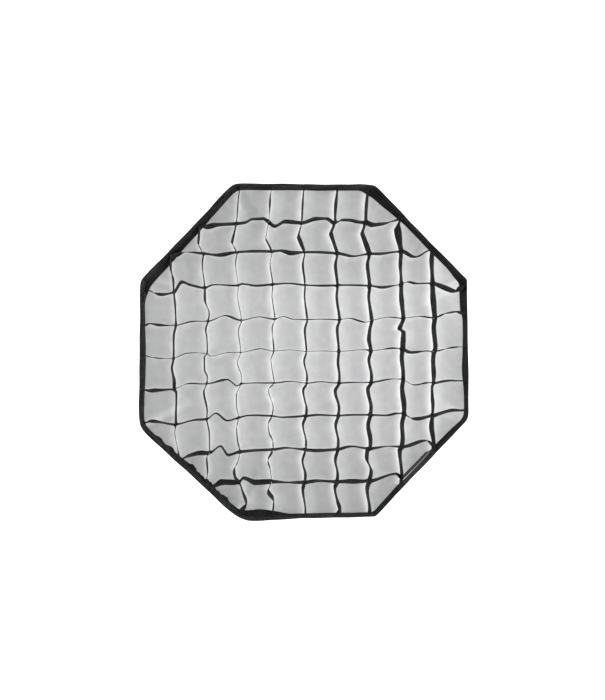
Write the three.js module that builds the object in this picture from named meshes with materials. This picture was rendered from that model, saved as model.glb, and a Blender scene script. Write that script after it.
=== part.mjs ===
// Octagonal fabric egg-crate grid on its diffusion panel, for the front of an octagonal softbox.
// Everything is laid out in a front-view frame: x right, y up, z towards the viewer, with z = 0 at the
// rear plane. The last line turns that frame so that +Z is up and the grid faces -Y.
// Both layers fold in half along y = 0, so whatever crosses that line is made in two halves.
import * as THREE from 'three';

// Driving dimensions, in millimetres.
const CORNER_TO_CORNER = 800;
const SIDES = 8;
const CELL_PITCH = 72.5;
const STRIPS_EACH_WAY = 9;
const STRIP_DEPTH = 38;
const STRIP_THICKNESS = 0.8;
const WALL_THICKNESS = 0.8;
const TAPE_WIDTH = 14;
const TAPE_THICKNESS = 1.8;
const BINDING_WIDTH = 15;
const BINDING_LEG = 1;
const BINDING_FOLD = 3;
const CLOTH_THICKNESS = 0.6;
const GAP = 0.3;

// Sizes that follow from them.
const HALF_CORNER = Math.PI / SIDES;
const RIM_APOTHEM = CORNER_TO_CORNER / 2 * Math.cos(HALF_CORNER);
const TAPE_INNER = RIM_APOTHEM - TAPE_WIDTH;
const WALL_OUTER = TAPE_INNER - GAP;
const WALL_INNER = WALL_OUTER - WALL_THICKNESS;
const CLOTH_BACK = BINDING_LEG + GAP;
const CLOTH_FRONT = CLOTH_BACK + CLOTH_THICKNESS;
const BINDING_FRONT = CLOTH_FRONT + GAP + BINDING_LEG;
const GRID_BACK = BINDING_FRONT + GAP;
const GRID_FRONT = GRID_BACK + STRIP_DEPTH;
const LAP_LINE = (GRID_BACK + GRID_FRONT) / 2;
const SLOT_HALF = STRIP_THICKNESS / 2 + GAP;
const FOLD_HALF_GAP = SLOT_HALF;
const MIDDLE = (STRIPS_EACH_WAY - 1) / 2;

const fabric = (colour, roughness) => new THREE.MeshStandardMaterial({ color: colour, roughness, metalness: 0 });
const STRIP_NYLON = fabric(0x1c1c1e, 0.8);
const WALL_NYLON = fabric(0x171718, 0.8);
const HOOK_TAPE = fabric(0x121213, 0.95);
const WEBBING = fabric(0x19191b, 0.9);
const DIFFUSION_CLOTH = fabric(0xe9eaec, 0.9);

const grid = new THREE.Group();
const panel = new THREE.Group();

function addMesh(group, name, geometry, material) {
  const mesh = new THREE.Mesh(geometry, material);
  mesh.name = name;
  group.add(mesh);
  return mesh;
}

function shapeOf(points) {
  return new THREE.Shape(points.map(([a, b]) => new THREE.Vector2(a, b)));
}

function rectangle(aMin, aMax, bMin, bMax) {
  return [[aMin, bMin], [aMax, bMin], [aMax, bMax], [aMin, bMax]];
}

function extruded(points, depth) {
  return new THREE.ExtrudeGeometry(shapeOf(points), { depth, bevelEnabled: false });
}

// Gives an extruded outline the frame in which its first, second and depth directions are these axes.
function turned(geometry, first, second, depth) {
  const axes = [first, second, depth].map((axis) => new THREE.Vector3(...axis));
  return geometry.applyMatrix4(new THREE.Matrix4().makeBasis(...axes));
}

// How far a strip runs from the centre line before it meets the wall, at this distance to one side.
function reachAt(offset) {
  const toDiagonal = Math.SQRT2 * WALL_INNER - Math.abs(offset) - STRIP_THICKNESS / 2;
  return Math.min(WALL_INNER, toDiagonal) - GAP;
}

const strips = Array.from({ length: STRIPS_EACH_WAY }, (_, i) => ({ number: i + 1, offset: (i - MIDDLE) * CELL_PITCH }));

// The strips running the other way that a strip at this offset crosses between start and end.
function crossings(offset, start, end) {
  const inside = (other) => other.offset > start + SLOT_HALF && other.offset < end - SLOT_HALF;
  return strips.filter((other) => inside(other) && Math.abs(offset) < reachAt(other.offset));
}

// A comb outline from start to end, with its slots open at the rear edge or at the front edge.
function comb(start, end, slots, openAtRear) {
  const lap = openAtRear ? LAP_LINE + GAP / 2 : LAP_LINE - GAP / 2;
  const slotted = openAtRear ? GRID_BACK : GRID_FRONT;
  const plain = openAtRear ? GRID_FRONT : GRID_BACK;
  const outline = [[start, slotted]];
  for (const { offset } of slots) {
    outline.push([offset - SLOT_HALF, slotted], [offset - SLOT_HALF, lap]);
    outline.push([offset + SLOT_HALF, lap], [offset + SLOT_HALF, slotted]);
  }
  outline.push([end, slotted], [end, plain], [start, plain]);
  return outline;
}

// Numbered from left to right. The slots open at the rear, over the horizontal strips.
function addVerticalStrip({ number, offset }, half) {
  const reach = reachAt(offset);
  const [start, end] = half === 'upper' ? [FOLD_HALF_GAP, reach] : [-reach, -FOLD_HALF_GAP];
  const outline = comb(start, end, crossings(offset, start, end), true);
  const geometry = turned(extruded(outline, STRIP_THICKNESS), [0, 1, 0], [0, 0, 1], [1, 0, 0]);
  const mesh = addMesh(grid, `vertical_strip_${number}_${half}`, geometry, STRIP_NYLON);
  mesh.position.x = offset - STRIP_THICKNESS / 2;
}

// Numbered from top to bottom. The slots open at the front. The middle strip has none, because the
// vertical strips part there for the fold.
function addHorizontalStrip({ number, offset }) {
  const reach = reachAt(offset);
  const slots = offset === 0 ? [] : crossings(offset, -reach, reach);
  const geometry = turned(
    extruded(comb(-reach, reach, slots, false), STRIP_THICKNESS),
    [1, 0, 0], [0, 0, 1], [0, -1, 0],
  );
  const mesh = addMesh(grid, `horizontal_strip_${number}`, geometry, STRIP_NYLON);
  mesh.position.y = STRIP_THICKNESS / 2 - offset;
}

// The ten straight lengths round the octagon, clockwise from the top. The two upright sides are
// halved at the fold: fromFold starts there and toFold stops there.
const lengths = [
  { name: 'top', turn: 0 },
  { name: 'top_right', turn: 1 },
  { name: 'right_upper', turn: 2, toFold: true },
  { name: 'right_lower', turn: 2, fromFold: true },
  { name: 'bottom_right', turn: 3 },
  { name: 'bottom', turn: 4 },
  { name: 'bottom_left', turn: 5 },
  { name: 'left_lower', turn: 6, toFold: true },
  { name: 'left_upper', turn: 6, fromFold: true },
  { name: 'top_left', turn: 7 },
];

// A bar along one side of the octagon with mitred ends. Its section is (distance from centre, z).
function addLength(group, layer, { name, turn, fromFold, toFold }, section, material) {
  const geometry = extruded(section, 1);
  const position = geometry.attributes.position;
  for (let i = 0; i < position.count; i += 1) {
    const mitre = position.getX(i) * Math.tan(HALF_CORNER) - GAP / 2;
    const start = fromFold ? FOLD_HALF_GAP : -mitre;
    const end = toFold ? -FOLD_HALF_GAP : mitre;
    position.setZ(i, position.getZ(i) > 0.5 ? end : start);
  }
  geometry.computeVertexNormals();
  const mesh = addMesh(group, `${layer}_${name}`, turned(geometry, [0, 1, 0], [0, 0, 1], [1, 0, 0]), material);
  mesh.rotation.z = -turn * 2 * HALF_CORNER;
}

const WALL_SECTION = rectangle(WALL_INNER, WALL_OUTER, GRID_BACK, GRID_FRONT);
const TAPE_SECTION = rectangle(TAPE_INNER, RIM_APOTHEM, GRID_BACK, GRID_BACK + TAPE_THICKNESS);

// Webbing folded over the cloth's edge, open towards the centre.
function bindingSection() {
  const inner = RIM_APOTHEM - BINDING_WIDTH;
  const fold = RIM_APOTHEM - BINDING_FOLD;
  return [
    [inner, 0], [RIM_APOTHEM, 0], [RIM_APOTHEM, BINDING_FRONT], [inner, BINDING_FRONT],
    [inner, CLOTH_FRONT + GAP], [fold, CLOTH_FRONT + GAP], [fold, BINDING_LEG], [inner, BINDING_LEG],
  ];
}

// Half of an octagon of cloth, above or below the fold.
function addCloth(half) {
  const apothem = RIM_APOTHEM - BINDING_FOLD - GAP;
  const corner = apothem * Math.tan(HALF_CORNER);
  const upper = [
    [-apothem, FOLD_HALF_GAP], [apothem, FOLD_HALF_GAP], [apothem, corner],
    [corner, apothem], [-corner, apothem], [-apothem, corner],
  ];
  const mesh = addMesh(panel, `diffusion_cloth_${half}`, extruded(upper, CLOTH_THICKNESS), DIFFUSION_CLOTH);
  mesh.position.z = CLOTH_BACK;
  mesh.rotation.z = half === 'upper' ? 0 : Math.PI;
}

for (const strip of strips) {
  addVerticalStrip(strip, 'upper');
  addVerticalStrip(strip, 'lower');
  addHorizontalStrip(strip);
}
for (const length of lengths) {
  addLength(grid, 'wall', length, WALL_SECTION, WALL_NYLON);
  addLength(grid, 'hook_tape', length, TAPE_SECTION, HOOK_TAPE);
  addLength(panel, 'binding', length, bindingSection(), WEBBING);
}
addCloth('upper');
addCloth('lower');

const honeycombGrid = new THREE.Group();
honeycombGrid.add(grid, panel);
honeycombGrid.rotation.x = Math.PI / 2;

export default honeycombGrid;
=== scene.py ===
# Octagonal fabric egg-crate grid on its diffusion panel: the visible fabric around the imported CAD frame.
# Lengths are metres. x is right, z is up, and the grid faces -y. Shapes written in millimetres use MM.
import math

import bpy
import numpy as np
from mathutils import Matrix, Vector


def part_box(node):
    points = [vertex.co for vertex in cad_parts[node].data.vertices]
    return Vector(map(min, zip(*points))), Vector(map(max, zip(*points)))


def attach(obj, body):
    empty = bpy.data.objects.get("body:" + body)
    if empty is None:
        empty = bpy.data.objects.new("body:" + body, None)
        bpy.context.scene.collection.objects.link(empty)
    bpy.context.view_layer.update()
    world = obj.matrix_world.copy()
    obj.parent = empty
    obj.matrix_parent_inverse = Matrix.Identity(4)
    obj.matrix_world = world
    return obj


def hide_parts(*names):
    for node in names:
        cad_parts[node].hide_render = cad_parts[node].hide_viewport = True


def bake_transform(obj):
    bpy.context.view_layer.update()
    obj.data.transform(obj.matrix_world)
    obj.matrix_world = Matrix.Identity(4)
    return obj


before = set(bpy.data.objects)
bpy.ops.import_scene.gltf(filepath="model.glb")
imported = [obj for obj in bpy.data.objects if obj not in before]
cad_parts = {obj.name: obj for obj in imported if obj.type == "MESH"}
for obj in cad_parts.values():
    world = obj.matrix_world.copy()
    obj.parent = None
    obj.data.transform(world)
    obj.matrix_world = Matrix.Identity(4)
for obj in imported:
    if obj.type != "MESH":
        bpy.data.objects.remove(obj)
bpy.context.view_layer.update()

MM = 0.001
rng = np.random.default_rng(11)

# The lattice, read from the frame.
strip_low, strip_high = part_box("horizontal_strip_5")
FRONT, BACK = strip_low.y, strip_high.y
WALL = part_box("wall_top")[0].z
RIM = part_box("binding_top")[1].z
TAPE_FRONT, TAPE_BACK = (corner.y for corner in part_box("hook_tape_top"))
BINDING_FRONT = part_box("binding_top")[0].y
CLOTH_FRONT, CLOTH_BACK = (corner.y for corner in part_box("diffusion_cloth_upper"))
STRIPS = 9
MIDDLE = 5
PITCH = (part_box("vertical_strip_9_upper")[0].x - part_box("vertical_strip_1_upper")[0].x) / (STRIPS - 1)
SIDE_ANGLE = math.pi / 4
HALF_CORNER = SIDE_ANGLE / 2

# Heights between which the fabric turns as it folds, below the fold line so that it clears its neighbour.
PANEL_FOLD = (0.0, -0.016)

# How far each corner is drawn out of place, clockwise from the top right: (right, up) in mm.
CORNER_DRIFT = [(0, 6), (-2, 9), (2, -3), (1, -6), (2, -9), (-3, -13), (0, 1), (-11, 3)]
# How sharp each corner is, in the same order. Higher is sharper.
CORNER_SHARPNESS = [110, 160, 90, 200, 40, 60, 110, 90]

# How far right the vertical strips sit at the top, at each horizontal strip and at the bottom, in mm.
ROW_SHIFT = [-5, -13, -8, -8, -3, -5, -4, -6, -7, -9, -9]
# How far up the horizontal strips sit at the left, at each vertical strip and at the right, in mm.
COLUMN_RISE = [-12, -12, -3, -1, 2, 1, 1, 2, 6, 3, 9]
# How far up each horizontal strip sits as a whole, from the top, in mm.
ROW_RISE = [-9, 0, 0, -4, -2, 0, 0, -2, 0]
# Crossings pulled further out of line: (vertical, horizontal): (right, up) in mm.
PULLED = {
    (3, 0): (11, 0), (4, 0): (4, 0), (7, 0): (-7, 0),
    (2, 1): (0, -8), (3, 1): (5, -2), (4, 1): (1, 0), (7, 1): (-4, 0), (8, 1): (7, 3),
    (2, 2): (-3, -2), (3, 2): (-3, 0), (4, 2): (1, 0), (6, 2): (0, -2), (7, 2): (0, -4), (8, 2): (0, -3),
    (1, 3): (4, -6), (2, 3): (-2, -4), (3, 3): (-2, 0), (4, 3): (1, 0), (7, 3): (0, -2), (8, 3): (0, -3),
    (10, 3): (0, -16),
    (1, 4): (3, 0), (4, 4): (1, 0), (7, 4): (0, -3), (8, 4): (0, -2),
    (0, 5): (0, 10), (9, 5): (0, -4),
    (0, 6): (0, 10), (1, 6): (1, 6), (2, 6): (-2, 6), (3, 6): (0, 2), (8, 6): (0, 2), (9, 6): (-3, -3),
    (10, 6): (0, -4),
    (0, 7): (0, 16), (1, 7): (7, 4), (2, 7): (0, 2), (3, 7): (-4, 0), (4, 7): (-3, 0), (8, 7): (4, -2),
    (9, 7): (-4, -3), (10, 7): (0, 5),
    (1, 8): (14, 6), (2, 8): (7, 5), (3, 8): (0, 1), (4, 8): (0, 1),
    (2, 9): (0, 5), (3, 9): (0, 8), (4, 9): (-2, 3),
}

# The dark rim's least width, and how much wider it is: (degrees clockwise from the top, mm).
RIM_WIDTH = 0.0100
RIM_SWELLS = [
    (0, 3), (18, 3), (22.5, 14), (27, 12), (33, 7), (40, 4), (60, 4), (67, 8), (75, 7), (80, 1), (90, 2),
    (97, 4), (106, 0), (114, 1), (118, 3), (127, 3), (131, 1), (141, 0), (146, 2), (152, 1), (164, 0),
    (186, 1), (192, 8), (198, 13), (206, 4), (218, 4), (226, 4), (234, 2), (250, 1), (266, 3), (286, 1),
    (294, 13), (302, 12), (310, 9), (325, 6), (345, 4), (360, 3),
]

# Bends of each horizontal strip between its crossings: (place in cells from the left wall, rise in mm).
HORIZONTAL_BENDS = {
    1: [(2.2, -3), (2.5, 1), (3.25, 1), (3.5, 8), (3.82, 8), (4.18, -9), (4.5, 2), (5.2, 4), (5.4, 9),
        (5.75, 10), (6.25, 7), (6.5, 6), (6.75, 2), (7.2, -7), (7.45, -7), (7.75, -1)],
    2: [(1.35, 6), (2.45, -5), (3.5, 1), (4.25, 2), (4.6, -3), (5.4, 1), (6.5, -6), (7.4, -2), (8.38, -14)],
    3: [(0.45, -8), (1.25, 20), (1.5, 12), (1.75, 5), (2.25, 5), (3.1, 3), (3.55, -2), (4.5, 3), (5.55, -1),
        (6.4, 1), (7.45, -5), (8.2, 5), (8.5, 0), (9.3, -7), (9.7, -16)],
    4: [(0.25, 5), (0.5, 2), (1.5, 4), (2.5, 11), (3.5, 6), (4.25, 6), (4.6, 0), (5.5, 1), (6.3, 4),
        (6.8, -4), (7.5, 5), (8.5, 4), (9.35, 8), (9.7, 7)],
    5: [(0.4, -3), (1.4, 7), (2.1, -6), (2.65, 1), (3.6, 6), (4.5, 3), (5.5, 1), (6.85, 3), (7.6, 3),
        (8.22, -6), (8.5, -4), (8.8, 0), (9.4, 3)],
    6: [(0.3, -2), (1.4, 7), (2.6, 9), (2.9, -5), (3.4, 1), (4.5, 4), (5.4, 3), (6.45, 1), (7.6, 4),
        (8.34, -9), (8.6, -5), (8.85, 0), (9.4, 3)],
    7: [(0.3, 5), (1.6, 3), (2.28, 12), (2.65, -5), (3.3, 4), (4.3, -3), (5.4, 2), (6.4, 1), (7.5, -2),
        (7.8, 2), (8.3, -10), (9.5, 5)],
    8: [(1.3, 4), (1.6, 5), (2.36, 14), (2.61, -6), (3.4, 1), (4.4, 4), (5.33, -2), (6.4, 6), (7.5, 3),
        (8.67, 17)],
    9: [(2.4, 6), (3.12, 9), (3.5, -1), (4.5, -1), (5.4, 3), (6.35, 0), (7.7, 13)],
}
# Twists that widen or narrow the face a strip shows: (place in cells, lean of its front edge in mm).
HORIZONTAL_TWISTS = {
    1: [(2.3, 4), (4.2, 2), (4.65, 2), (5.3, 4.5), (7.2, 3.5)],
    2: [(0.6, 2), (1.4, -4), (2.6, 4), (4.6, 5.5), (7.5, 1.5), (8.65, 7.5), (9.4, 1.5)],
    3: [(0.5, 4.5), (1.3, 6), (1.7, 4), (2.4, -1), (3.6, 2), (5.5, 1.5), (7.5, 3.5), (9.4, 4), (9.8, 3)],
    4: [(0.5, 4), (1.5, 1.5), (2.7, 4.5), (9.5, 4.5)],
    5: [(0.5, 2), (7.6, 4), (8.3, 5), (8.6, 3), (9.5, 4)],
    6: [(0.3, 6), (0.6, 3), (1.5, 2), (2.4, 4), (8.2, 4), (8.55, 0), (9.5, 2)],
    7: [(0.3, 4.5), (2.35, 1.5), (8.45, 4), (9.2, 1), (9.6, 4.5)],
    8: [(1.35, 3), (1.7, 5), (2.5, 1), (4.65, -2), (5.3, 2), (6.5, -1), (7.5, -3.5)],
    9: [(2.25, 10), (2.7, 5), (3.4, 5), (3.8, 4), (4.5, -3.5), (5.6, -2.5), (6.5, 3.5), (7.3, -1.5)],
}
VERTICAL_TWISTS = {
    1: [(2.55, -2.5), (3.6, 1.5), (5.8, -4), (7.3, 4), (7.7, 4.5)],
    2: [(3.3, -2), (4.3, -1)],
    3: [(0.6, -1.5), (1.6, -2), (8.7, -3), (9.7, -1)],
    4: [(0.5, -4.5), (4.3, -3), (7.6, -1.5), (8.5, -1.5), (9.2, -4)],
    5: [(1.7, 3), (3.4, -1.2), (6.9, 1), (8.65, 3), (9.2, 2)],
    6: [(0.5, 2), (1.2, 3), (5.8, -1), (6.5, 1.5), (9.7, 5)],
    7: [(0.5, 1), (1.8, 3), (2.3, 1), (3.5, -2.5), (4.7, 1), (5.5, -1.2), (7.6, 4)],
    8: [(1.5, 5), (2.7, -3.5), (3.5, 1.5), (4.2, 1), (4.8, 2.5), (6.6, 3.5), (7.6, 1), (8.4, -3.5),
        (8.8, -3)],
    9: [(2.7, -3), (3.5, 2.5), (4.8, -1), (5.4, -1.5), (5.95, -3), (6.2, -4), (6.5, -2), (6.9, -4),
        (7.4, 1), (7.8, -2.5)],
}

# Each vertical strip bulges to the left below a crossing: by how many mm in each row of cells from the top,
# and where in the cell it peaks.
ROW_BULGE = [1, 0, 4, 3, 5, 6, 8, 6, 7, 6]
ROW_PEAK = [0.4, 0.5, 0.36, 0.36, 0.3, 0.28, 0.22, 0.26, 0.3, 0.2]
# How slack each vertical strip is, as a factor on its bulges.
STRIP_SLACK = [0.6, 1.0, 1.1, 1.15, 1.0, 0.95, 0.9, 0.45, 0.4]
# From this row on it also swings to the right, by this share of the bulge, at this place in the cell.
SWING_ROW = 6
SWING_PLACE = 0.78
SWING_SHARE = 0.15
# In this row the bulge is a sharp chevron of this size in mm.
CHEVRON_ROW = 2
CHEVRON = 11
# On these strips it peaks at these places in the cell. To the left of them it is smaller by this factor.
CHEVRON_STRIPS, CHEVRON_PEAKS, CHEVRON_LEFT = (3, 6), (0.7, 0.33), 0.85
# A regular bulge is left out this close to a single fold, in cells.
FOLD_CLEARANCE = 0.2
# Single folds that stand out, by vertical strip: (place in cells from the top, shift right in mm).
VERTICAL_FOLDS = {
    1: [(2.6, 1), (3.4, 1), (5.3, -4), (6.1, 4), (7.9, 4)],
    2: [(3.75, 4), (4.5, -2), (5.12, -6), (5.55, -5), (7.4, 3), (8.12, -5), (8.5, 0), (8.7, 2)],
    3: [(6.3, -8), (6.65, -6), (7.3, -5), (7.65, -4), (8.3, -4), (8.6, -12), (8.85, -9), (9.3, 7),
        (9.66, 15), (9.92, 8)],
    4: [(5.6, -4), (7.25, -9), (7.5, -7), (8.6, -4), (9.25, -8), (9.5, 4)],
    5: [(6.5, -4)],
    6: [(5.35, -2), (9.8, 5)],
    7: [(4.6, -5), (8.05, -6), (8.7, 4)],
    8: [(4.36, -8), (4.44, 1), (5.02, 4), (8.1, -5)],
    9: [(4.9, 3), (6.12, -3)],
}

STRIP_THICKNESS = 0.0006
CLOTH_THICKNESS = 0.0003
# A hem's depth, how many times as thick as the nylon it is, and at what share of the depth it is stitched.
HEM = 0.004
HEM_PLIES = 1.5
HEM_LINE = 0.11
# Between its hems a strip has this share of their thickness.
PLAIN_SHARE = 0.6
# Half the width of the slots by which the strips interlace.
SLOT_HALF = 0.0008
# How far a strip is twisted where it is pinched in the slot of another, in mm, and how far along in cells.
PINCH, PINCH_REACH = 2.0, 0.08
# A twist fades over this many cells on either side. A bend makes the strip lean by this share of its size.
TWIST_REACH, BEND_LEAN = 0.4, 0.15
# Waves and twists fade over this many cells before a strip's ends.
END_FADE = 0.3
# Bends closer than this to a strip's start, its end or a crossing are left out, in cells.
START_MARGIN, END_MARGIN, CROSSING_MARGIN = 0.05, 0.03, 0.03
# Rows of vertices from a strip's front edge to its rear, as shares of its depth.
STRIP_ROWS = np.array([0, 0.05, HEM_LINE, 0.25, 0.4, 0.5, 0.6, 0.75, 0.89, 0.95, 1])
WALL_ROWS = np.array([0, 0.05, 0.11, 0.3, 0.5, 0.7, 0.89, 0.95, 1])
# Distance between the places sampled along a strip, in cells.
SAMPLE = 0.034
STITCH, STITCH_GAP, THREAD_RADIUS = 0.0032, 0.0012, 0.0003
# Half the height of the stitches in the strips' hems, the wall's hems, its seams, and on the rim.
HEM_STITCH, WALL_STITCH, SEAM_STITCH, RIM_STITCH = 0.0008, 0.0007, 0.0006, 0.00024


# ---------------- curves and meshes

def smoothstep(t):
    """From 0 to 1 with no kink at either end."""
    t = np.clip(t, 0, 1)
    return t * t * (3 - 2 * t)


def bump(x, centre, width):
    """1 at centre, falling smoothly to 0 a width away on either side."""
    return smoothstep(1 - np.abs(x - centre) / width)


def smooth_through(points, at):
    """A curve through (place, value) points that never overshoots them."""
    places, values = np.array(sorted(points), float).T
    steps = np.diff(places)
    slopes = np.diff(values) / steps
    tangents = np.zeros(len(places))
    for i in range(1, len(places) - 1):
        before, after = slopes[i - 1], slopes[i]
        if before * after > 0:
            tangents[i] = 2 * before * after / (before + after)
    i = np.clip(np.searchsorted(places, at) - 1, 0, len(steps) - 1)
    t = np.clip((at - places[i]) / steps[i], 0, 1)
    rest = 1 - t
    return (
        (1 + 2 * t) * rest**2 * values[i] + t * rest**2 * steps[i] * tangents[i]
        + t**2 * (3 - 2 * t) * values[i + 1] - t**2 * rest * steps[i] * tangents[i + 1]
    )


def ripple(at, lengths, size):
    """Seeded unevenness: a sum of waves of these lengths, about this size."""
    total = np.zeros(np.shape(at))
    for length in lengths:
        total = total + rng.uniform(0.5, 1) * np.sin(2 * math.pi * (np.asarray(at) / length + rng.random()))
    return total * size / math.sqrt(len(lengths))


def clockwise_from_top(x, z):
    return np.arctan2(x, z) % (2 * math.pi)


def corner_blend(angle, values):
    """Values given at the corners, clockwise from the top right, blended along the sides between them."""
    place = (angle / SIDE_ANGLE - 0.5) % 8
    first = np.floor(place).astype(int) % 8
    share = (place - np.floor(place))[..., None]
    table = np.array(values, float).reshape(8, -1)
    return table[first] * (1 - share) + table[(first + 1) % 8] * share


def octagon_radius(angle, apothem):
    """Distance from the centre to a rounded octagon in this direction."""
    sharpness = corner_blend(angle, CORNER_SHARPNESS)[..., 0]
    side = np.round(angle / SIDE_ANGLE) * SIDE_ANGLE
    near = np.cos(angle - side)
    other = np.cos(angle - side - np.sign(angle - side + 1e-12) * SIDE_ANGLE)
    return apothem * (near**sharpness + np.maximum(other, 0) ** sharpness) ** (-1 / sharpness)


def drift(x, z):
    """How far the slack fabric is drawn from its true place: nothing at the centre, all of it at the rim."""
    share = np.minimum((x**2 + z**2) / RIM**2, 1.08) ** 2
    moved = corner_blend(clockwise_from_top(x, z), CORNER_DRIFT) * MM * share[..., None]
    return moved[..., 0], moved[..., 1]


def on_ring(angle, apothem):
    """Points in the plane of the grid on the drawn octagon with this apothem."""
    radius = octagon_radius(angle, apothem)
    x, z = radius * np.sin(angle), radius * np.cos(angle)
    dx, dz = drift(x, z)
    return x + dx, z + dz


def new_object(name, vertices, faces, look):
    mesh = bpy.data.meshes.new(name)
    mesh.from_pydata([tuple(v) for v in vertices], [], faces)
    mesh.validate()
    mesh.polygons.foreach_set("use_smooth", [True] * len(mesh.polygons))
    mesh.materials.append(look)
    obj = bpy.data.objects.new(name, mesh)
    bpy.context.scene.collection.objects.link(obj)
    return obj


def set_attribute(obj, name, values):
    attribute = obj.data.attributes.new(name, "FLOAT", "POINT")
    attribute.data.foreach_set("value", np.asarray(values, np.float32))


def set_place(obj, along, across):
    """Stores distances in metres along and across a piece, on which its weave is drawn."""
    set_attribute(obj, "along", along)
    set_attribute(obj, "across", across)


def grid_faces(rows, columns, keep=None, closed_rows=False, closed_columns=False):
    """Quads of a lattice of vertices. keep(row, column) can leave one out."""
    faces = []
    for i in range(rows if closed_rows else rows - 1):
        for j in range(columns if closed_columns else columns - 1):
            if keep is None or keep(i, j):
                k, m = (i + 1) % rows, (j + 1) % columns
                faces.append((i * columns + j, k * columns + j, k * columns + m, i * columns + m))
    return faces


def apply_modifiers(obj):
    evaluated = obj.evaluated_get(bpy.context.evaluated_depsgraph_get())
    mesh = bpy.data.meshes.new_from_object(evaluated)
    obj.modifiers.clear()
    obj.data = mesh
    return obj


def thicken(obj, thickness, group=None):
    """Gives a single layer of fabric its thickness, thinner where the group's weight is low."""
    solid = obj.modifiers.new("thickness", "SOLIDIFY")
    solid.thickness = thickness
    solid.offset = 0
    solid.use_even_offset = False
    if group is not None:
        solid.vertex_group = group
        solid.thickness_vertex_group = 0
    return apply_modifiers(obj)


# ---------------- materials

def material(name, colour, roughness):
    made = bpy.data.materials.new(name)
    made.use_nodes = True
    tree = made.node_tree
    shader = tree.nodes["Principled BSDF"]
    shader.inputs["Base Color"].default_value = (*colour, 1)
    shader.inputs["Roughness"].default_value = roughness
    return made, tree, shader


def add(tree, kind, **settings):
    node = tree.nodes.new(kind)
    for name, value in settings.items():
        setattr(node, name, value)
    return node


def joined(tree, node, **sources):
    """Links or sets a node's inputs by name, with _ for a space, or by number as in_0, in_1."""
    for name, source in sources.items():
        key = int(name[3:]) if name.startswith("in_") else name.replace("_", " ")
        socket = node.inputs[key]
        if hasattr(source, "is_linked"):
            tree.links.new(source, socket)
        else:
            socket.default_value = source
    return node


def maths(tree, operation, first, second=None):
    node = joined(tree, add(tree, "ShaderNodeMath", operation=operation), in_0=first)
    if second is not None:
        joined(tree, node, in_1=second)
    return node.outputs[0]


def noise(tree, where, scale, detail=3.0, roughness=0.5):
    node = add(tree, "ShaderNodeTexNoise")
    joined(tree, node, Vector=where, Scale=scale, Detail=detail, Roughness=roughness)
    return node.outputs["Fac"]


def weave_height(tree, along, across, pitch):
    """Over-and-under thread relief from two distances in metres."""
    turn = 2 * math.pi / pitch
    warp = maths(tree, "SINE", maths(tree, "MULTIPLY", along, turn))
    weft = maths(tree, "SINE", maths(tree, "MULTIPLY", across, turn))
    return maths(tree, "MULTIPLY", warp, weft)


def weighted(tree, *layers):
    """The sum of (factor, weight) layers."""
    total = None
    for factor, weight in layers:
        part = maths(tree, "MULTIPLY", factor, weight)
        total = part if total is None else maths(tree, "ADD", total, part)
    return total


def two_tones(tree, factor, dark, light, low, high):
    """A colour that runs from dark, where the factor is low, to light, where it is high."""
    ramp = joined(tree, add(tree, "ShaderNodeValToRGB"), Fac=factor)
    first, last = ramp.color_ramp.elements
    first.position, first.color = low, (*dark, 1)
    last.position, last.color = high, (*light, 1)
    return ramp.outputs["Color"]


def bumped(tree, shader, *layers):
    """Each layer is (height, strength, distance in metres)."""
    normal = None
    for height, strength, distance in layers:
        node = joined(tree, add(tree, "ShaderNodeBump"), Height=height, Strength=strength, Distance=distance)
        if normal is not None:
            tree.links.new(normal, node.inputs["Normal"])
        normal = node.outputs["Normal"]
    tree.links.new(normal, shader.inputs["Normal"])


def surface_place(tree):
    """The distances that set_place() stored, so that the weave bends with the fabric."""
    along = add(tree, "ShaderNodeAttribute", attribute_name="along").outputs["Fac"]
    across = add(tree, "ShaderNodeAttribute", attribute_name="across").outputs["Fac"]
    place = joined(tree, add(tree, "ShaderNodeCombineXYZ"), X=along, Y=across).outputs["Vector"]
    return along, across, place


def black_fabric(name, dark, light, thread, sheen, specular):
    """Plain-woven black nylon: thread relief, slow tone changes, dust and a soft sheen."""
    made, tree, shader = material(name, light, 0.62)
    along, across, place = surface_place(tree)
    weave = weave_height(tree, along, across, thread)
    slow = noise(tree, place, 18.0, 4.0, 0.6)
    fine = noise(tree, place, 900.0, 2.0)
    patches = noise(tree, place, 260.0, 2.0, 0.6)
    tone = weighted(tree, (slow, 0.3), (fine, 0.2), (patches, 0.5))
    joined(tree, shader, Base_Color=two_tones(tree, tone, dark, light, 0.44, 0.58))
    joined(tree, shader, Roughness=maths(tree, "ADD", 0.52, maths(tree, "MULTIPLY", fine, 0.25)))
    shader.inputs["Sheen Weight"].default_value = sheen
    shader.inputs["Sheen Roughness"].default_value = 0.45
    shader.inputs["Specular IOR Level"].default_value = specular
    bumped(tree, shader, (slow, 0.25, 0.0012), (patches, 0.5, 0.0008), (weave, 0.5, 0.00012),
           (fine, 0.3, 0.00008))
    return made


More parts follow.
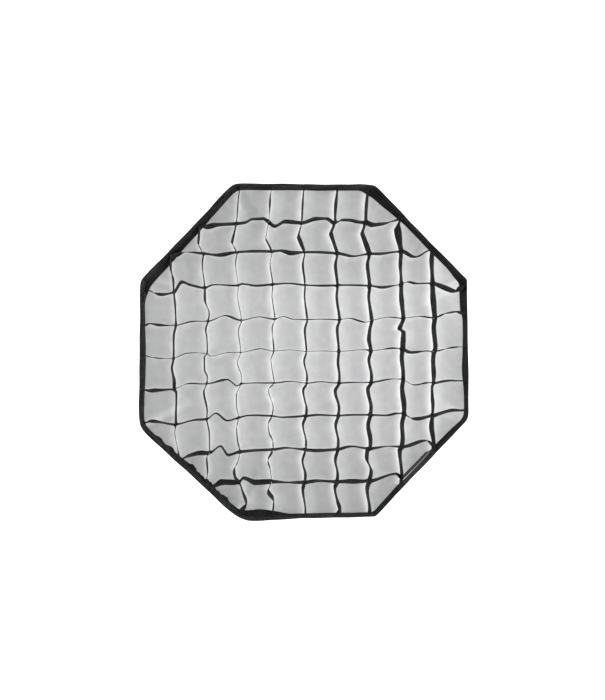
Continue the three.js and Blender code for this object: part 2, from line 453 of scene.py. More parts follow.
def webbing(name, dark, light, rib):
    """Ribbed woven tape: ribs across it, a chevron of fine threads along it, and fuzz."""
    made, tree, shader = material(name, light, 0.7)
    along, across, place = surface_place(tree)
    ribs = maths(tree, "SINE", maths(tree, "MULTIPLY", along, 2 * math.pi / rib))
    threads = weave_height(tree, along, across, rib * 0.55)
    slow = noise(tree, place, 25.0, 4.0, 0.6)
    fuzz = noise(tree, place, 1500.0, 3.0, 0.7)
    patches = noise(tree, place, 240.0, 2.0, 0.6)
    tone = weighted(tree, (slow, 0.3), (fuzz, 0.2), (patches, 0.5))
    joined(tree, shader, Base_Color=two_tones(tree, tone, dark, light, 0.44, 0.57))
    joined(tree, shader, Roughness=maths(tree, "ADD", 0.58, maths(tree, "MULTIPLY", fuzz, 0.3)))
    shader.inputs["Sheen Weight"].default_value = 0.05
    shader.inputs["Sheen Roughness"].default_value = 0.5
    shader.inputs["Specular IOR Level"].default_value = 0.10
    bumped(tree, shader, (slow, 0.2, 0.001), (patches, 0.8, 0.0012), (ribs, 0.4, 0.0002),
           (threads, 0.5, 0.00012), (fuzz, 0.5, 0.00015))
    return made


# The share of the light that the diffusion cloth passes instead of reflecting.
TRANSLUCENCY = 0.85


def diffusion(name):
    """Thin white nylon that passes light: fine weave, faint mottling, and painted light and shade stored on
    the cloth as its tone.
    """
    made, tree, shader = material(name, (0.78, 0.79, 0.81), 0.6)
    along, across, place = surface_place(tree)
    weave = weave_height(tree, along, across, 0.0009)
    mottle = noise(tree, place, 60.0, 5.0, 0.6)
    threads = noise(tree, place, 1400.0, 2.0)
    # The stored tone is painted light and shade; the mottling and threads add random tone to it.
    tone = add(tree, "ShaderNodeAttribute", attribute_name="tone").outputs["Fac"]
    for unevenness, weight in ((mottle, 0.30), (threads, 0.06)):
        change = maths(tree, "MULTIPLY", maths(tree, "SUBTRACT", unevenness, 0.5), weight)
        tone = maths(tree, "ADD", tone, change)
    colour = two_tones(tree, tone, (0.402, 0.404, 0.406), (0.94, 0.94, 0.942), 0.0, 1.0)
    joined(tree, shader, Base_Color=colour)
    shader.inputs["Sheen Weight"].default_value = 0.15
    shader.inputs["Specular IOR Level"].default_value = 0.25
    bumped(tree, shader, (mottle, 0.15, 0.0008), (weave, 0.35, 0.00008))
    translucent = joined(tree, add(tree, "ShaderNodeBsdfTranslucent"), Color=colour)
    mix = add(tree, "ShaderNodeMixShader")
    joined(tree, mix, Fac=TRANSLUCENCY, in_1=shader.outputs[0], in_2=translucent.outputs[0])
    tree.links.new(mix.outputs[0], tree.nodes["Material Output"].inputs["Surface"])
    return made


def thread_material(name, colour):
    """Twisted sewing thread."""
    made, tree, shader = material(name, colour, 0.5)
    where = add(tree, "ShaderNodeTexCoord").outputs["Object"]
    twist = noise(tree, where, 1200.0, 2.0)
    light = tuple(min(1.0, c * 1.9) for c in colour)
    joined(tree, shader, Base_Color=two_tones(tree, twist, colour, light, 0.35, 0.7))
    shader.inputs["Sheen Weight"].default_value = 0.2
    bumped(tree, shader, (twist, 0.4, 0.0001))
    return made


NEAR_BLACK = (0.0005, 0.0005, 0.0006)
TAPE_BLACK = (0.001, 0.001, 0.0011)
STRIP_NYLON = black_fabric(
    "strip_nylon", NEAR_BLACK, (0.012, 0.012, 0.0127), thread=0.0008, sheen=0.02, specular=0.06)
WALL_NYLON = black_fabric(
    "wall_nylon", NEAR_BLACK, (0.018, 0.018, 0.0189), thread=0.0008, sheen=0.02, specular=0.05)
HOOK_TAPE = webbing("hook_tape", TAPE_BLACK, (0.034, 0.034, 0.0356), rib=0.0022)
BINDING = webbing("binding_webbing", TAPE_BLACK, (0.030, 0.030, 0.0315), rib=0.0018)
DIFFUSION = diffusion("diffusion_cloth")
THREAD = thread_material("black_thread", (0.02, 0.02, 0.021))


# ---------------- the rim's inner edge and the wall

def degrees(angle):
    return np.degrees(angle) % 360


def ring_angles(count):
    """This many directions round the octagon, clockwise from the top."""
    return np.linspace(0, 2 * math.pi, count, endpoint=False)


def rim_width(angle):
    """How wide the dark rim is in this direction, in metres."""
    return RIM_WIDTH + smooth_through(RIM_SWELLS, degrees(angle)) * MM


# Where the wall's rear edge stands raggedly inside the rim: (degrees clockwise from the top, mm).
RAGGED = [(210, 4), (218, 3), (226, 4), (236, 4), (241, 3)]
RAGGED_WIDTH = 2.2
# A finely scalloped stretch: its middle, its reach and one scallop in degrees, and their size in mm.
SCALLOPS_AT, SCALLOPS_REACH, SCALLOP, SCALLOP_SIZE = 218, 16, 1.9, 1.3
# Between these directions the wall stands free of the rim and leaves a thin gap.
BOWED_FROM, BOWED_TO = 127, 146
# How far its rear and its front edge stand further in there, in mm.
BOWED_REAR, BOWED_FRONT = 2.3, 17


def wall_rear_inset(angles, bowed):
    """How far inside the rim's outer edge the wall's rear edge stands."""
    at = degrees(angles)
    inset = rim_width(angles) + ripple(at, (40, 24, 15), 0.6) * MM
    for place, size in RAGGED:
        inset += size * MM * bump(at, place, RAGGED_WIDTH)
    inset += SCALLOP_SIZE * MM * bump(at, SCALLOPS_AT, SCALLOPS_REACH) * np.sin(at * 2 * math.pi / SCALLOP)
    return inset + BOWED_REAR * MM * bowed


def wall_front_inset(angles, bowed):
    """How far inside the rim's outer edge the wall's front edge stands."""
    unevenness = ripple(degrees(angles), (90, 45, 30, 18), 0.8)
    return RIM_WIDTH + (2 + BOWED_FRONT * bowed + unevenness) * MM


WALL_ANGLES = ring_angles(900)
WALL_AT = degrees(WALL_ANGLES)
WALL_BOWED = smoothstep((WALL_AT - BOWED_FROM) / 4) * smoothstep((BOWED_TO - WALL_AT) / 4)
WALL_REAR_INSET = wall_rear_inset(WALL_ANGLES, WALL_BOWED)
WALL_FRONT_INSET = wall_front_inset(WALL_ANGLES, WALL_BOWED)
WALL_BILLOW = ripple(WALL_AT, (60, 30, 20), 0.8) * MM
WALL_DROOP = ripple(WALL_AT, (72, 36), 0.8) * MM


def wall_inset(share):
    """How far inside the rim the wall stands at this share of the way to its rear edge."""
    return WALL_FRONT_INSET * (1 - share) + WALL_REAR_INSET * share + WALL_BILLOW * math.sin(math.pi * share)


# ---------------- the lattice of strips

def crossing(column, row):
    """Where vertical strip column meets horizontal strip row. 0 and 10 are the walls."""
    x, z = (column - MIDDLE) * PITCH, (MIDDLE - row) * PITCH
    dx, dz = drift(np.array(x), np.array(z))
    right, up = PULLED.get((column, row), (0, 0))
    rise = COLUMN_RISE[column] + (ROW_RISE[row - 1] if 0 < row <= STRIPS else 0) + up
    return x + float(dx) + (ROW_SHIFT[row] + right) * MM, z + float(dz) + rise * MM


def reach(offset):
    """How far a strip this far from the centre line runs before it meets the wall."""
    return min(WALL, math.sqrt(2) * WALL - abs(offset))


# Strips end on the wall at points at least this far out on their own side.
OWN_SIDE = 0.03
# A crossing lies at least this far inside the wall.
END_CLEARANCE = 0.003


def wall_meeting(number, vertical, sign, share):
    """Where a strip ends on the wall, at this share of the way to its rear edge."""
    offset = (number - MIDDLE) * PITCH
    last = MIDDLE + sign * math.ceil(reach(offset) / PITCH)
    last = min(max(last, 0), STRIPS + 1)
    aim = crossing(number, last) if vertical else crossing(last, number)
    x, z = on_ring(WALL_ANGLES, RIM - wall_inset(share))
    along, across = (x, -sign * z) if vertical else (z, sign * x)
    side = across > OWN_SIDE
    order = np.argsort(along[side])
    target = aim[0] if vertical else aim[1]
    distance = sign * float(np.interp(target, along[side][order], across[side][order]))
    return (target, -distance) if vertical else (distance, target)


def strip_stations(number, vertical, share):
    """The ends and crossings of a strip: (place in cells, x, z) from the left or from the top."""
    limit = reach((number - MIDDLE) * PITCH)
    stations = []
    for other in range(1, STRIPS + 1):
        if abs(other - MIDDLE) * PITCH < limit - END_CLEARANCE:
            point = crossing(number, other) if vertical else crossing(other, number)
            stations.append((other, *point))
    for sign in (-1, 1):
        stations.append((MIDDLE + sign * limit / PITCH, *wall_meeting(number, vertical, sign, share)))
    return sorted(stations)


def vertical_bends(number):
    """Bends between crossings for a vertical strip, as (place in cells from the top, shift right in mm)."""
    folds = VERTICAL_FOLDS.get(number, [])
    bends = list(folds)
    for row in range(1, STRIPS + 2):
        if row == CHEVRON_ROW:
            continue
        size = ROW_BULGE[row - 1] * STRIP_SLACK[number - 1] * rng.uniform(0.75, 1.25)
        peak = row - 1 + ROW_PEAK[row - 1] + rng.uniform(-0.04, 0.04)
        if all(abs(peak - place) > FOLD_CLEARANCE for place, _ in folds):
            bends.append((peak, -size))
        swing = row - 1 + SWING_PLACE
        if row >= SWING_ROW and all(abs(swing - place) > FOLD_CLEARANCE for place, _ in folds):
            bends.append((swing, SWING_SHARE * size))
    return bends


def chevron(place, number):
    """The sharp bulge to the left in the second row, with its point lower on the strips to the left."""
    peak = CHEVRON_ROW - 1 + np.interp(number, CHEVRON_STRIPS, CHEVRON_PEAKS)
    size = CHEVRON * (CHEVRON_LEFT if number < CHEVRON_STRIPS[0] else 1.0)
    return -size * np.interp(place, [CHEVRON_ROW - 1, peak, CHEVRON_ROW], [0, 1, 0], left=0, right=0)


def strip_places(cells):
    """Places sampled along a strip, in cells, with a narrow pair at each crossing for its slot."""
    start, end = cells[0], cells[-1]
    slot = SLOT_HALF / PITCH
    places = set(np.round(np.arange(start + SAMPLE, end - SAMPLE / 2, SAMPLE), 5)) | {start, end}
    for place in cells[1:-1]:
        places = {p for p in places if abs(p - place) > 2.5 * slot}
        places |= {place - slot, place, place + slot}
    return np.array(sorted(places))


def rod_faces(count):
    """The faces of this many closed rods, each four rings of six vertices."""
    faces = []
    for first in range(0, count * 24, 24):
        for ring in (0, 6, 12):
            for k in range(6):
                a, b = first + ring + k, first + ring + (k + 1) % 6
                faces.append((a, b, b + 6, a + 6))
        faces.append(tuple(range(first + 5, first - 1, -1)))
        faces.append(tuple(range(first + 18, first + 24)))
    return faces


def stitches(path, outward, depth):
    """Thread along a path: short hexagonal rods that stand out by depth. Gives their vertices and faces."""
    lengths = np.concatenate([[0], np.cumsum(np.linalg.norm(np.diff(path, axis=0), axis=1))])
    count = int(lengths[-1] / (STITCH + STITCH_GAP))
    begin = np.arange(count) * lengths[-1] / count
    shares, swells = np.array([0, 0.2, 0.8, 1]), np.array([0.35, 1, 1, 0.35])
    distance = begin[:, None] + shares * STITCH

    def along(values, at):
        return np.stack([np.interp(at, lengths, values[:, k]) for k in range(3)], axis=-1)

    centre, out = along(path, distance), along(outward, distance)
    ahead = along(path, distance + THREAD_RADIUS) - along(path, distance - THREAD_RADIUS)
    ahead /= np.linalg.norm(ahead, axis=-1, keepdims=True)
    sideways = np.cross(ahead, out)
    turn = np.arange(6) * math.pi / 3
    wide = sideways[:, :, None] * np.cos(turn)[:, None] * THREAD_RADIUS
    high = out[:, :, None] * np.sin(turn)[:, None] * depth
    vertices = (centre[:, :, None] + (wide + high) * swells[:, None, None]).reshape(-1, 3)
    return vertices, rod_faces(count)


def sewn(name, rows):
    """One object from several rows of stitches."""
    vertices, faces = [], []
    for more_vertices, more_faces in rows:
        first = len(vertices)
        vertices.extend(more_vertices)
        faces.extend([tuple(first + k for k in face) for face in more_faces])
    obj = new_object(name, vertices, faces, THREAD)
    return obj


# The rear edge of each finished strip, along which painted light and shade is laid on the cloth behind it:
# (is it vertical, x, z).
STRIP_LINES = []
# The directions in which strips meet the wall, and the stitches through their hems by carrying body.
SEAM_ANGLES = []
HEM_ROWS = {"both": [], "grid_upper": [], "grid_lower": []}


def strip_bend(number, vertical, cells, places):
    """How far a strip lies to the right of its straight course, or above it, in mm."""
    start, end = cells[0] + START_MARGIN, cells[-1] - END_MARGIN
    bends = vertical_bends(number) if vertical else HORIZONTAL_BENDS[number]
    nodes = [(cell, 0) for cell in cells]
    inside = [(place, size) for place, size in bends if start < place < end
              and min(abs(cells - place)) > CROSSING_MARGIN]
    bend = smooth_through(nodes + inside, places)
    return bend + chevron(places, number) if vertical else bend


def strip_lean(number, vertical, cells, places, bend):
    """How far a strip's front edge leans to the right, or up, from its rear edge, in mm."""
    half = 1 if number >= MIDDLE else -1
    lean = ripple(places, (3.1, 1.7, 0.9), 0.7) + BEND_LEAN * np.abs(bend) * half
    outward = 1 if vertical or number <= MIDDLE else -1
    for place, size in (VERTICAL_TWISTS if vertical else HORIZONTAL_TWISTS).get(number, []):
        lean = lean + outward * size * bump(places, place, TWIST_REACH)
    pinched = -1 if vertical and number <= MIDDLE else outward
    for place in cells[1:-1]:
        pinch = PINCH * (1 + 0.6 * math.sin(7 * number + 3 * place))
        lean = lean + pinched * pinch * bump(places, place, PINCH_REACH)
    return lean


def end_taper(cells, places):
    """1 along a strip, falling to 0 at its ends, where the wall holds it."""
    return smoothstep((places - cells[0]) / END_FADE) * smoothstep((cells[-1] - places) / END_FADE)


def slot_columns(cells, places):
    """Which stretches between neighbouring places lie in the slot at a crossing."""
    slots = np.zeros(len(places), bool)
    for place in cells[1:-1]:
        slots |= np.abs(places - place) < 1.2 * SLOT_HALF / PITCH
    return slots[:-1] & slots[1:]


def in_hem(share):
    """Whether the row at this share of the depth belongs to the front or the rear hem."""
    return min(share, 1 - share) * (BACK - FRONT) < HEM


def add_hem_group(obj, columns):
    """The weights by which thicken() makes a strip's hems thicker than the rest of it."""
    hem = obj.vertex_groups.new(name="hem")
    for i, share in enumerate(STRIP_ROWS):
        weight = 1.0 if in_hem(share) else PLAIN_SHARE
        hem.add(list(range(i * columns, (i + 1) * columns)), weight, "REPLACE")


def carrying_body(number, vertical):
    """The body that carries a strip, or both for one that runs across the fold."""
    if vertical or number == MIDDLE:
        return "both"
    return "grid_upper" if number < MIDDLE else "grid_lower"


def sew_hem(number, vertical, path):
    """Keeps the stitches along a strip's front hem, and the directions in which the strip meets the wall."""
    facing = np.cross(np.gradient(path, axis=0), (0, 1, 0))
    facing /= np.linalg.norm(facing, axis=1, keepdims=True)
    HEM_ROWS[carrying_body(number, vertical)].append(stitches(path, facing, HEM_STITCH))
    SEAM_ANGLES.extend(float(clockwise_from_top(*path[end, (0, 2)])) for end in (0, -1))


def steps_between(x, z):
    """Distances from each point of a course to the next."""
    return np.hypot(np.diff(x), np.diff(z))


def fabric_strip(number, vertical):
    """One length of nylon through the lattice. Gives the strip and its cut length."""
    cells, xs, zs = np.array(strip_stations(number, vertical, 0.5)).T
    places = strip_places(cells)
    taper = end_taper(cells, places)
    bend = strip_bend(number, vertical, cells, places)
    lean = strip_lean(number, vertical, cells, places, bend) * MM * taper
    billow = ripple(places, (1.3, 0.6), 0.7) * MM * taper
    droop = ripple(places, (2.3, 1.1), 0.8) * MM * taper

    def line(share):
        """The strip's course at this share of the way to its rear edge."""
        _, line_x, line_z = np.array(strip_stations(number, vertical, share)).T
        side = bend * MM + lean * (0.5 - share) + billow * math.sin(math.pi * share)
        across, upward = (side, 0) if vertical else (0, side)
        y = FRONT + (BACK - FRONT) * share + droop * (1 - share)
        return np.stack(
            [np.interp(places, cells, line_x) + across, y, np.interp(places, cells, line_z) + upward], axis=1)

    in_slot = slot_columns(cells, places)

    def keep(row, column):
        rear_half = STRIP_ROWS[row] >= 0.5
        return not (in_slot[column] and rear_half == vertical)

    name = f"{'vertical' if vertical else 'horizontal'}_cloth_{number}"
    vertices = np.concatenate([line(share) for share in STRIP_ROWS])
    obj = new_object(name, vertices, grid_faces(len(STRIP_ROWS), len(places), keep), STRIP_NYLON)
    straight = steps_between(np.interp(places, cells, xs), np.interp(places, cells, zs))
    along = np.concatenate([[0], np.cumsum(straight)])
    set_place(obj, np.tile(along, len(STRIP_ROWS)), np.repeat((BACK - FRONT) * STRIP_ROWS, len(places)))
    add_hem_group(obj, len(places))
    thicken(obj, STRIP_THICKNESS * HEM_PLIES, "hem")
    sew_hem(number, vertical, line(HEM_LINE))
    rear, middle = line(1), line(0.5)
    STRIP_LINES.append((vertical, rear[:, 0], rear[:, 2]))
    return obj, float(steps_between(middle[:, 0], middle[:, 2]).sum())


def carry(obj, body):
    """Puts a piece of the grid on its body; a piece on both keeps its place baked into its mesh."""
    if body == "both":
        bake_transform(obj)
    else:
        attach(obj, body)


def declare_strip(obj, body):
    carry(obj, body)


def build_strips():
    for number in range(1, STRIPS + 1):
        obj, length = fabric_strip(number, True)
        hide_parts(f"vertical_strip_{number}_upper", f"vertical_strip_{number}_lower")
        declare_strip(obj, "both")
    for number in range(1, STRIPS + 1):
        obj, length = fabric_strip(number, False)
        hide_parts(f"horizontal_strip_{number}")
        declare_strip(obj, carrying_body(number, False))


# ---------------- the rim

RING_NAMES = ["top", "top_right", "right_upper", "right_lower", "bottom_right", "bottom", "bottom_left",
              "left_lower", "left_upper", "top_left"]


def swept_ring(name, angles, loops, look):
    """A closed section swept round the octagon. loops holds the section's corners as (apothem, y) arrays."""
    vertices = []
    for apothem, y in loops:
        x, z = on_ring(angles, apothem)
        vertices.extend(zip(x, np.broadcast_to(y, x.shape), z))
    faces = grid_faces(len(loops), len(angles), closed_rows=True, closed_columns=True)
    obj = new_object(name, vertices, faces, look)
    along = np.cumsum(octagon_radius(angles, RIM) * np.gradient(np.unwrap(angles)))
    across = np.array([np.mean(apothem) + np.mean(y) for apothem, y in loops])
    set_place(obj, np.tile(along, len(loops)), np.repeat(across, len(angles)))
    return obj


def build_wall():
    """The band that closes the lattice, standing on the inner edge of the flat tape."""
    inner, outer = [], []
    for share in WALL_ROWS:
        half = STRIP_THICKNESS / 2 * (HEM_PLIES if in_hem(share) else 1.0)
        y = FRONT + (BACK - FRONT) * share + WALL_DROOP * (1 - share)
        inner.append((RIM - wall_inset(share) - half, y))
        outer.append((RIM - wall_inset(share) + half, y))
    obj = swept_ring("perimeter_wall", WALL_ANGLES, inner + outer[::-1], WALL_NYLON)
    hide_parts(*[f"wall_{name}" for name in RING_NAMES])
    carry(obj, "both")


# The tape's front, from its inner to its outer edge: (share of width, share of thickness).
TAPE_SHAPE = [
    (0.0, 0.35), (0.02, 0.85), (0.07, 1.0), (0.14, 0.62), (0.3, 0.58), (0.5, 0.66), (0.7, 0.58),
    (0.86, 0.62), (0.93, 1.0), (0.98, 0.85), (1.0, 0.35),
]
# Its ribs run between its cords.
RIBBED_FROM, RIBBED_TO, RIB_HEIGHT = 0.14, 0.86, 0.00018
# Where the tape's outer edge stands out: (degrees clockwise from the top, mm, half the length in degrees).
OUTER_BUMPS = [(18, 1.5, 4), (61, 0.6, 4), (67.4, 1.0, 1.2)]


def build_tape():
    """The flat tape on the wall's rear edge: ribbed across, with a raised cord along each edge."""
    angles = ring_angles(2600)
    at = degrees(angles)
    outer_wave = ripple(at, (72, 33, 20, 11), 0.5) * MM
    outer_wave = outer_wave + sum(size * bump(at, place, width) for place, size, width in OUTER_BUMPS) * MM
    outer = RIM + outer_wave
    inner = RIM - (rim_width(angles) + ripple(at, (60, 27, 15), 0.4) * MM)
    rib = RIB_HEIGHT * np.where(np.arange(len(angles)) % 4 < 2, 1.0, -1.0)
    loops = []
    for s, t in TAPE_SHAPE:
        y = TAPE_BACK + (TAPE_FRONT - TAPE_BACK) * t - rib * (RIBBED_FROM < s < RIBBED_TO)
        loops.append((inner + (outer - inner) * s, y))
    loops += [(outer, TAPE_BACK), (inner, TAPE_BACK)]
    obj = swept_ring("edge_tape", angles, loops, HOOK_TAPE)
    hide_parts(*[f"hook_tape_{name}" for name in RING_NAMES])
    carry(obj, "both")


def fold_with_panel(obj):
    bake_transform(obj)


# The binding's section, out along its rear and back along its front: (share of width, share of depth).
BINDING_SHAPE = [
    (0.0, 0.25), (0.04, 0.0), (0.15, 0.12), (0.3, 0.04), (0.5, 0.08), (0.7, 0.04), (0.85, 0.1),
    (0.95, 0.0), (0.99, 0.2), (1.0, 0.5), (0.99, 0.8), (0.95, 1.0), (0.5, 0.94), (0.04, 1.0), (0.0, 0.75),
]
# Each of its edges stands this far inside the tape's.
BINDING_MARGIN = 0.0006


def build_binding():
    """Webbing folded over the cloth's edge, thickest at the fold and stitched flat towards the centre."""
    angles = ring_angles(1800)
    wave = ripple(degrees(angles), (80, 36, 17), 0.4) * MM
    inner = RIM - rim_width(angles) + BINDING_MARGIN - wave
    outer = RIM - BINDING_MARGIN + wave
    loops = [(inner + (outer - inner) * s, BINDING_FRONT * t) for s, t in BINDING_SHAPE]
    obj = swept_ring("panel_binding", angles, loops[::-1], BINDING)
    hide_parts(*[f"binding_{name}" for name in RING_NAMES])
    fold_with_panel(obj)


def rim_stitches(place, y, towards):
    """A row of stitches round the rim, place of the way from its outer to its inner edge."""
    fine = np.linspace(0, 2 * math.pi, 4400)
    x, z = on_ring(fine, RIM - place * rim_width(fine))
    path = np.stack([x, np.full_like(x, y), z], axis=1)
    return stitches(path, np.tile((0.0, towards, 0.0), (len(path), 1)), RIM_STITCH)


def wall_point(angles, share):
    """Points of the wall in these directions, at this share of the way to its rear edge."""
    inset = np.interp(angles, WALL_ANGLES, wall_inset(share), period=2 * math.pi)
    droop = np.interp(angles, WALL_ANGLES, WALL_DROOP, period=2 * math.pi)
    x, z = on_ring(angles, RIM - inset)
    return np.stack([x, FRONT + (BACK - FRONT) * share + droop * (1 - share), z], axis=-1)


def build_wall_stitches():
    """The wall's hems, and a seam across the wall wherever a strip is sewn to it."""
    ring = np.linspace(0, 2 * math.pi, 1500)
    outward = np.stack([np.sin(ring), np.zeros_like(ring), np.cos(ring)], axis=1)
    rows = [stitches(wall_point(ring, share), outward, WALL_STITCH) for share in (0.09, 0.9)]
    for angle in SEAM_ANGLES:
        path = np.array([wall_point(np.array(angle), share) for share in np.linspace(0.14, 0.86, 15)])
        out = np.tile((math.sin(angle), 0, math.cos(angle)), (len(path), 1))
        rows.append(stitches(path, out, SEAM_STITCH))
    carry(sewn("wall_stitches", rows), "both")


def build_strip_stitches():
    """The stitches through the strips' front hems, one object for each body that carries strips."""
    for name, body in (("middle", "both"), ("upper", "grid_upper"), ("lower", "grid_lower")):
        carry(sewn(f"hem_stitches_{name}", HEM_ROWS[body]), body)


def build_rim_stitches():
    """Two rows of stitches on the front of the tape and two on the back of the binding."""
    front, rear = TAPE_FRONT + 0.0004, -0.0002
    carry(sewn("tape_stitching", [rim_stitches(place, front, -1) for place in (0.8, 0.22)]), "both")
    fold_with_panel(sewn("binding_stitching", [rim_stitches(place, rear, 1) for place in (0.76, 0.3)]))


# ---------------- the diffusion panel

# The painted light and shade beside a strip still reaches this far past its ends.
LINE_OVERHANG = 0.004


def nearest_lines(x, z, vertical):
    """Distances to the next strip on the left and right of each point, or below and above it."""
    before = np.full(x.shape, PITCH / 2)
    after = np.full(x.shape, PITCH / 2)
    along, across = (z, x) if vertical else (x, z)
    for is_vertical, line_x, line_z in STRIP_LINES:
        if is_vertical != vertical:
            continue
        line_along, line_across = (line_z, line_x) if vertical else (line_x, line_z)
        order = np.argsort(line_along)
        gap = across - np.interp(along, line_along[order], line_across[order])
        beyond = (along > line_along.max() + LINE_OVERHANG) | (along < line_along.min() - LINE_OVERHANG)
        before = np.where((gap >= 0) & ~beyond, np.minimum(before, gap), before)
        after = np.where((gap < 0) & ~beyond, np.minimum(after, -gap), after)
    return before, after


def painted_cell_light(x, z):
    """Painted light and shade for the cloth's tone: a painted glow beside the strips, most on its right, and
    painted shade that grows towards the right.
    """
    left, right = nearest_lines(x, z, True)
    below, above = nearest_lines(x, z, False)
    painted_glow = (0.35 + 0.06 * x / RIM) * np.exp(-left / 0.0065) + 0.35 * np.exp(-right / 0.008)
    painted_glow = np.maximum(painted_glow, 0.22 * np.exp(-above / 0.005) + 0.18 * np.exp(-below / 0.005))
    painted_shade = smoothstep((left - 0.010) / 0.04) * smoothstep((right - 0.004) / 0.014)
    painted_shade = (0.12 + 0.09 * x / RIM) * painted_shade
    # Painted shade darkens the top and bottom rows of cells, and painted light lightens the right-hand
    # corner.
    rows = 0.06 * smoothstep((z - 0.13) / 0.06) + 0.04 * smoothstep((-z - 0.19) / 0.08)
    corner = 0.12 * smoothstep(((x + 0.4 * z) / RIM - 0.93) / 0.12)
    # Painted light also grows towards the right and the top, and painted shade grows towards the edges.
    return (0.45 + painted_glow - painted_shade - rows + corner + 0.11 * x / RIM + 0.045 * z / RIM
            - (0.05 * x**2 + 0.09 * z**2) / RIM**2)


# How much the painted light and shade on the cloth changes per metre of crease height.
CREASE_SHADE = 90
CREASES_PER_CORNER = 4
CREASE_HEIGHT = 1.1


def wrinkles(x, z):
    """Creases in the cloth that run in from the corners, in metres towards the viewer."""
    total = np.zeros_like(x)
    angle, radius = clockwise_from_top(x, z), np.hypot(x, z)
    for corner in range(8):
        centre = (corner + 0.5) * SIDE_ANGLE
        away = (angle - centre + math.pi) % (2 * math.pi) - math.pi
        fan = np.zeros_like(x)
        for _ in range(CREASES_PER_CORNER):
            lean, width = rng.uniform(-0.16, 0.16), rng.uniform(0.012, 0.02)
            crease = np.exp(-(((away - lean * (1.25 - radius / RIM)) / width) ** 2))
            fan += rng.uniform(0.5, 1.0) * crease * rng.choice([-1, 1])
        total += fan * smoothstep((radius - 0.25) / 0.12)
    return total * CREASE_HEIGHT * MM


# The cloth's edge is hidden this far inside the binding's fold.
CLOTH_MARGIN = 0.0034
# How far the cloth sinks back in the middle of a cell, and how far it may stand forward, in mm.
PUFF, CREST = 1.6, 1.2
# It lies this far behind the middle of the CAD's cloth, to clear the grid.
CLOTH_BACKSET = 0.0004
# The drawn cloth shrinks by this factor, so that its corners stay in the binding.
SQUEEZE = 0.994


def cloth_lattice(apothem):
    """Points that fill the flat octagon, in close rows where it folds: x, z, and how many each way."""
    corner = apothem * math.tan(HALF_CORNER)
    heights = set(np.round(np.linspace(-apothem, apothem, 300), 6)) | {-corner, corner}
    heights |= set(np.round(np.linspace(*PANEL_FOLD, 17), 6))
    heights = np.array(sorted(heights))
    shares = np.linspace(-1, 1, 300)
    half_width = np.minimum(apothem, math.sqrt(2) * apothem - np.abs(heights))
    x = np.outer(half_width, shares).ravel()
    return x, np.repeat(heights, len(shares)), len(heights), len(shares)


def cloth_freedom(x, z, apothem):
    """0 where the binding holds the cloth, 1 well inside it."""
    edge = np.minimum.reduce([
        apothem - np.abs(x), apothem - np.abs(z), apothem - (np.abs(x) + np.abs(z)) / math.sqrt(2)])
    return smoothstep((edge - 0.012) / 0.03)


def cloth_puff(x, z):
    """How far the cloth sinks back between the strips."""
    across_cell = np.abs(np.sin(math.pi * x / PITCH)) * np.abs(np.sin(math.pi * z / PITCH))
    return PUFF * MM * across_cell**0.7


def build_cloth():
    """One octagon of thin white nylon: puffed a little in each cell, creased towards the corners."""
    apothem = RIM - CLOTH_MARGIN
    x, z, rows, columns = cloth_lattice(apothem)
    slow = ripple(x, (0.41, 0.23), 0.5) * MM + ripple(z, (0.37, 0.19), 0.5) * MM
    creases = wrinkles(x, z)
    relief = cloth_freedom(x, z, apothem) * (slow + creases - cloth_puff(x, z))
    y = (CLOTH_FRONT + CLOTH_BACK) / 2 + CLOTH_BACKSET + np.maximum(-relief, -CREST * MM)
    dx, dz = drift(x, z)
    vertices = np.stack([(x + dx) * SQUEEZE, y, (z + dz) * SQUEEZE], axis=1)
    obj = new_object("diffusion_sheet", vertices, grid_faces(rows, columns), DIFFUSION)
    set_place(obj, x, z)
    # The stored tone is painted light and shade: a glow and shade by the strips, and painted light and shade
    # along the creases.
    set_attribute(obj, "tone", painted_cell_light(vertices[:, 0], vertices[:, 2]) + CREASE_SHADE * creases)
    thicken(obj, CLOTH_THICKNESS)
    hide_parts("diffusion_cloth_upper", "diffusion_cloth_lower")
    fold_with_panel(obj)


# ---------------- floor, light and camera

FLOOR = -0.75
FLOOR_RADII = (0.01, 1.0, 3.0, 9.0)


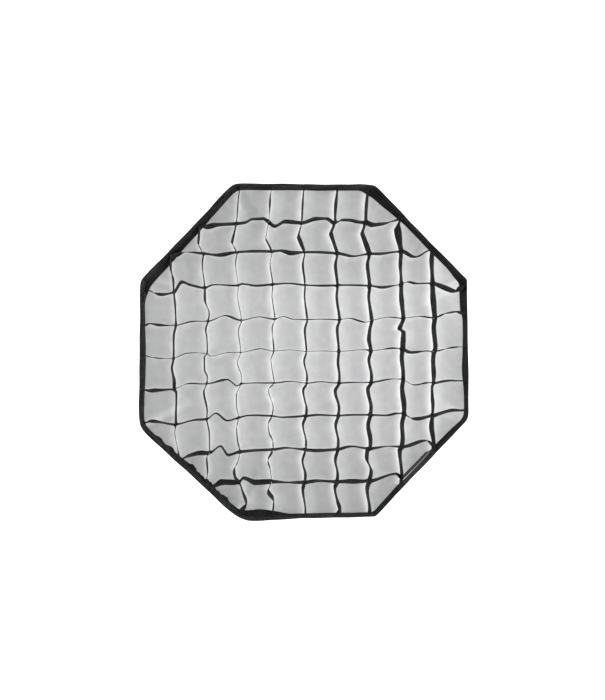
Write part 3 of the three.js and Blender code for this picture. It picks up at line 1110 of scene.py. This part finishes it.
def build_stage():
    """A wide pale floor that meets the white surroundings without a visible horizon."""
    made, tree, shader = material("pale_floor", (0.94, 0.94, 0.94), 0.9)
    grain = noise(tree, add(tree, "ShaderNodeTexCoord").outputs["Object"], 6.0)
    joined(tree, shader, Base_Color=two_tones(tree, grain, (0.93, 0.93, 0.93), (0.95, 0.95, 0.95), 0.3, 0.7))
    shader.inputs["Emission Color"].default_value = (1, 1, 1, 1)
    shader.inputs["Emission Strength"].default_value = 0.12
    turns = ring_angles(96)
    vertices = [(r * math.cos(t), r * math.sin(t), FLOOR) for r in FLOOR_RADII for t in turns]
    faces = grid_faces(len(FLOOR_RADII), len(turns), closed_columns=True)
    new_object("floor", vertices, faces, made)


def add_light(name, place, size, power):
    """A round light aimed at the centre of the grid."""
    light = bpy.data.lights.new(name, "AREA")
    light.shape = "DISK"
    light.size = size
    light.energy = power
    obj = bpy.data.objects.new(name, light)
    obj.location = place
    obj.rotation_euler = (-Vector(place)).to_track_quat("-Z", "Y").to_euler()
    bpy.context.scene.collection.objects.link(obj)


def build_lights():
    world = bpy.data.worlds.new("white_studio")
    world.use_nodes = True
    background = world.node_tree.nodes["Background"]
    background.inputs["Color"].default_value = (1, 1, 1, 1)
    background.inputs["Strength"].default_value = 1.62
    bpy.context.scene.world = world
    add_light("key", (1.7, -2.0, -0.3), 1.6, 34)
    add_light("fill", (-1.4, -2.2, 1.0), 2.2, 18)


def build_camera():
    """Almost square on, from a little left of the centre."""
    data = bpy.data.cameras.new("camera")
    data.lens = 36.7
    data.sensor_width = 36
    data.shift_x = -0.0136
    camera = bpy.data.objects.new("camera", data)
    camera.location = (-0.15, -1.6, 0.01)
    aim = Vector((0.010, 0, 0.002)) - camera.location
    camera.rotation_euler = aim.to_track_quat("-Z", "Y").to_euler()
    bpy.context.scene.collection.objects.link(camera)
    bpy.context.scene.camera = camera


build_camera()
build_strips()
build_wall()
build_tape()
build_binding()
build_cloth()
build_wall_stitches()
build_strip_stitches()
build_rim_stitches()
build_stage()
build_lights()
bpy.context.scene.view_settings.view_transform = "Standard"
